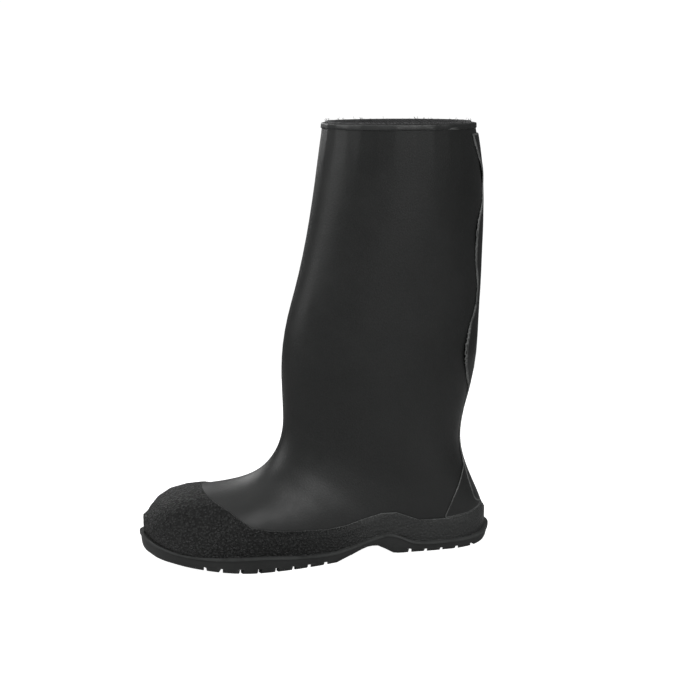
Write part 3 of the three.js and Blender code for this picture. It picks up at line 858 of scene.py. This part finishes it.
def make_yarn_ends(lining):
    """Loose ends of yarn along the lining's cut edge: a few bent threads, copied round the edge."""
    count, shapes = 260, 6
    tilt, scatter, sunk = 0.7, 0.7, 1.2
    chance = random.Random(7)
    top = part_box("lining_sock")[1][2] + RIM_RISE * MM
    rim = [v.co.copy() for v in lining.data.vertices if v.co.z > top - 0.0015]
    threads = []
    for k in range(count):
        spot = chance.choice(rim)
        aside = (chance.uniform(-scatter, scatter), chance.uniform(-scatter, scatter), -sunk)
        foot = spot + Vector(aside) * MM
        deselect_all()
        if k < shapes:
            thread = make_thread(chance)
        else:
            thread = threads[k % shapes].copy()
            thread.data = threads[k % shapes].data.copy()
            bpy.context.collection.objects.link(thread)
        threads.append(thread)
        turn = (chance.uniform(-tilt, tilt), chance.uniform(-tilt, tilt), chance.uniform(0, 6.28))
        thread.rotation_euler = turn
        size = chance.uniform(0.55, 1.15)
        thread.scale = (size, size, size)
        thread.location = foot
    deselect_all()
    for thread in threads:
        thread.select_set(True)
    bpy.context.view_layer.objects.active = threads[0]
    bpy.ops.object.transform_apply(location=True, rotation=True, scale=True)
    return join(threads, "yarn_ends")


def make_heel_pad():
    pad = copy_node("footbed_heel_pad", "footbed_heel_cushion")
    moulded(pad, 0.0008, 8)
    return pad


def make_floor():
    """A pale floor that looks white to the camera."""
    deselect_all()
    bpy.ops.mesh.primitive_plane_add(size=1.3, location=(0, 0, -0.0002))
    floor = bpy.context.object
    floor.name = "studio_floor"
    white = bpy.data.materials.new("white_floor")
    white.use_nodes = True
    shader = white.node_tree.nodes["Principled BSDF"]
    shader.inputs["Base Color"].default_value = (0.5, 0.5, 0.5, 1)
    shader.inputs["Roughness"].default_value = 1.0
    shader.inputs["Specular IOR Level"].default_value = 0.0
    shader.inputs["Emission Color"].default_value = (1, 1, 1, 1)
    look = white.node_tree.nodes.new("ShaderNodeLightPath")
    white.node_tree.links.new(look.outputs["Is Camera Ray"], shader.inputs["Emission Strength"])
    floor.data.materials.append(white)


def make_surround():
    """A surround that looks white to the camera and lights the boot only dimly."""
    world = bpy.data.worlds.new("studio")
    bpy.context.scene.world = world
    world.use_nodes = True
    tree = world.node_tree
    dim = tree.nodes["Background"]
    dim.inputs["Color"].default_value = (1, 1, 1, 1)
    dim.inputs["Strength"].default_value = 0.11
    pale = tree.nodes.new("ShaderNodeBackground")
    pale.inputs["Color"].default_value = (1, 1, 1, 1)
    pale.inputs["Strength"].default_value = 1.05
    seen = tree.nodes.new("ShaderNodeLightPath")
    both = tree.nodes.new("ShaderNodeMixShader")
    tree.links.new(seen.outputs["Is Camera Ray"], both.inputs["Fac"])
    tree.links.new(dim.outputs["Background"], both.inputs[1])
    tree.links.new(pale.outputs["Background"], both.inputs[2])
    tree.links.new(both.outputs["Shader"], tree.nodes["World Output"].inputs["Surface"])


def make_lamps():
    aim = Vector((0.02, 0, 0.2))
    for name, place, size, power in (
        ("overhead", (-0.1, 0.1, 1.7), 1.5, 9),
        ("low_card", (0.34, -1.15, 0.42), 0.45, 1.7),
        ("tall_side", (-1.2, -0.2, 0.85), 0.7, 11),
        ("front_fill", (0.45, -1.25, 1.15), 0.8, 14),
        ("behind", (-0.5, 1.5, 0.9), 0.9, 9),
    ):
        bpy.ops.object.light_add(type="AREA", location=place)
        lamp = bpy.context.object
        lamp.name = name
        lamp.data.size = size
        lamp.data.energy = power
        lamp.rotation_euler = (aim - Vector(place)).to_track_quat("-Z", "Y").to_euler()


def set_camera():
    data = bpy.data.cameras.new("view")
    camera = bpy.data.objects.new("view", data)
    bpy.context.collection.objects.link(camera)
    aim = Vector((0.030, 0.0012, 0.187))
    place = Vector((-0.2175, -1.0706, 0.434))
    camera.location = place
    camera.rotation_euler = (aim - place).to_track_quat("-Z", "Y").to_euler()
    data.sensor_width = 36
    data.lens = 63.67
    bpy.context.scene.camera = camera
    bpy.context.scene.view_settings.view_transform = "Standard"


# ---- The whole boot --------------------------------------------------------------------------------------
set_camera()
make_floor()
make_surround()
make_lamps()

satin = satin_rubber()
grained = grained_rubber()
sole_finish = sole_rubber()
binding_finish = binding_rubber()
lining_knit = knit("lining_knit", (0.012, 0.0122, 0.0126), (0.05, 0.05, 0.052))
weave = cover_fabric()
grey_foam = foam("grey_closed_cell_foam", (0.11, 0.115, 0.12), (0.2, 0.205, 0.215))
bed_foam = foam("dark_footbed_foam", (0.05, 0.053, 0.056), (0.11, 0.115, 0.12))
steel_finish = pressed_steel()
board_finish = fibre_board()
counter_finish = counter_sheet()


def dress(piece, material, body, slot, *stands_for):
    piece.data.materials.clear()
    piece.data.materials.append(material)
    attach(piece, body)
    if stands_for:
        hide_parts(*stands_for)


form = make_form()
upper = make_upper(form)
smooth(upper, 60)
dress(upper, satin, "boot", "boot_rubber", "upper_shell")
outsole = make_outsole()
dress(outsole, sole_finish, "boot", "sole_rubber", "outsole")
guard = make_guard(form)
smooth(guard, 50)
dress(guard, grained, "boot", "grained_rubber", "toe_guard_and_rand")
stay = make_stay(form)
smooth(stay, 50)
dress(stay, satin, "boot", "boot_rubber", "heel_stay")
strip = make_strip(form)
smooth(strip, 50)
dress(strip, satin, "boot", "boot_rubber", "back_strip")
binding = make_binding(form)
smooth(binding, 60)
dress(binding, binding_finish, "boot", "boot_rubber", "top_binding")
bpy.data.objects.remove(form)
lining = make_lining()
smooth(lining, 60)
dress(lining, lining_knit, "boot", "knit_lining", "lining_sock")
yarn = make_yarn_ends(lining)
dress(yarn, lining_knit, "boot", "knit_lining")
cover = copy_node("footbed_cover", "footbed_cover_fabric")
smooth(cover, 50)
dress(cover, weave, "footbed", "cover_fabric", "footbed_cover")
cushion = make_heel_pad()
smooth(cushion, 60)
dress(cushion, bed_foam, "footbed", "footbed_foam", "footbed_heel_pad")

for node, material in (
    ("steel_toe_cap", steel_finish), ("toe_cap_edge_bead", satin), ("toe_cap_pad", grey_foam),
    ("forepart_filler", grey_foam), ("heel_filler", grey_foam), ("steel_shank", steel_finish),
    ("steel_midsole_plate", steel_finish), ("heel_wedge", grey_foam), ("insole_board", board_finish),
    ("heel_counter", counter_finish), ("lining_seam_tape", lining_knit), ("footbed", bed_foam),
):
    nodes[node].data.materials.clear()
    nodes[node].data.materials.append(material)
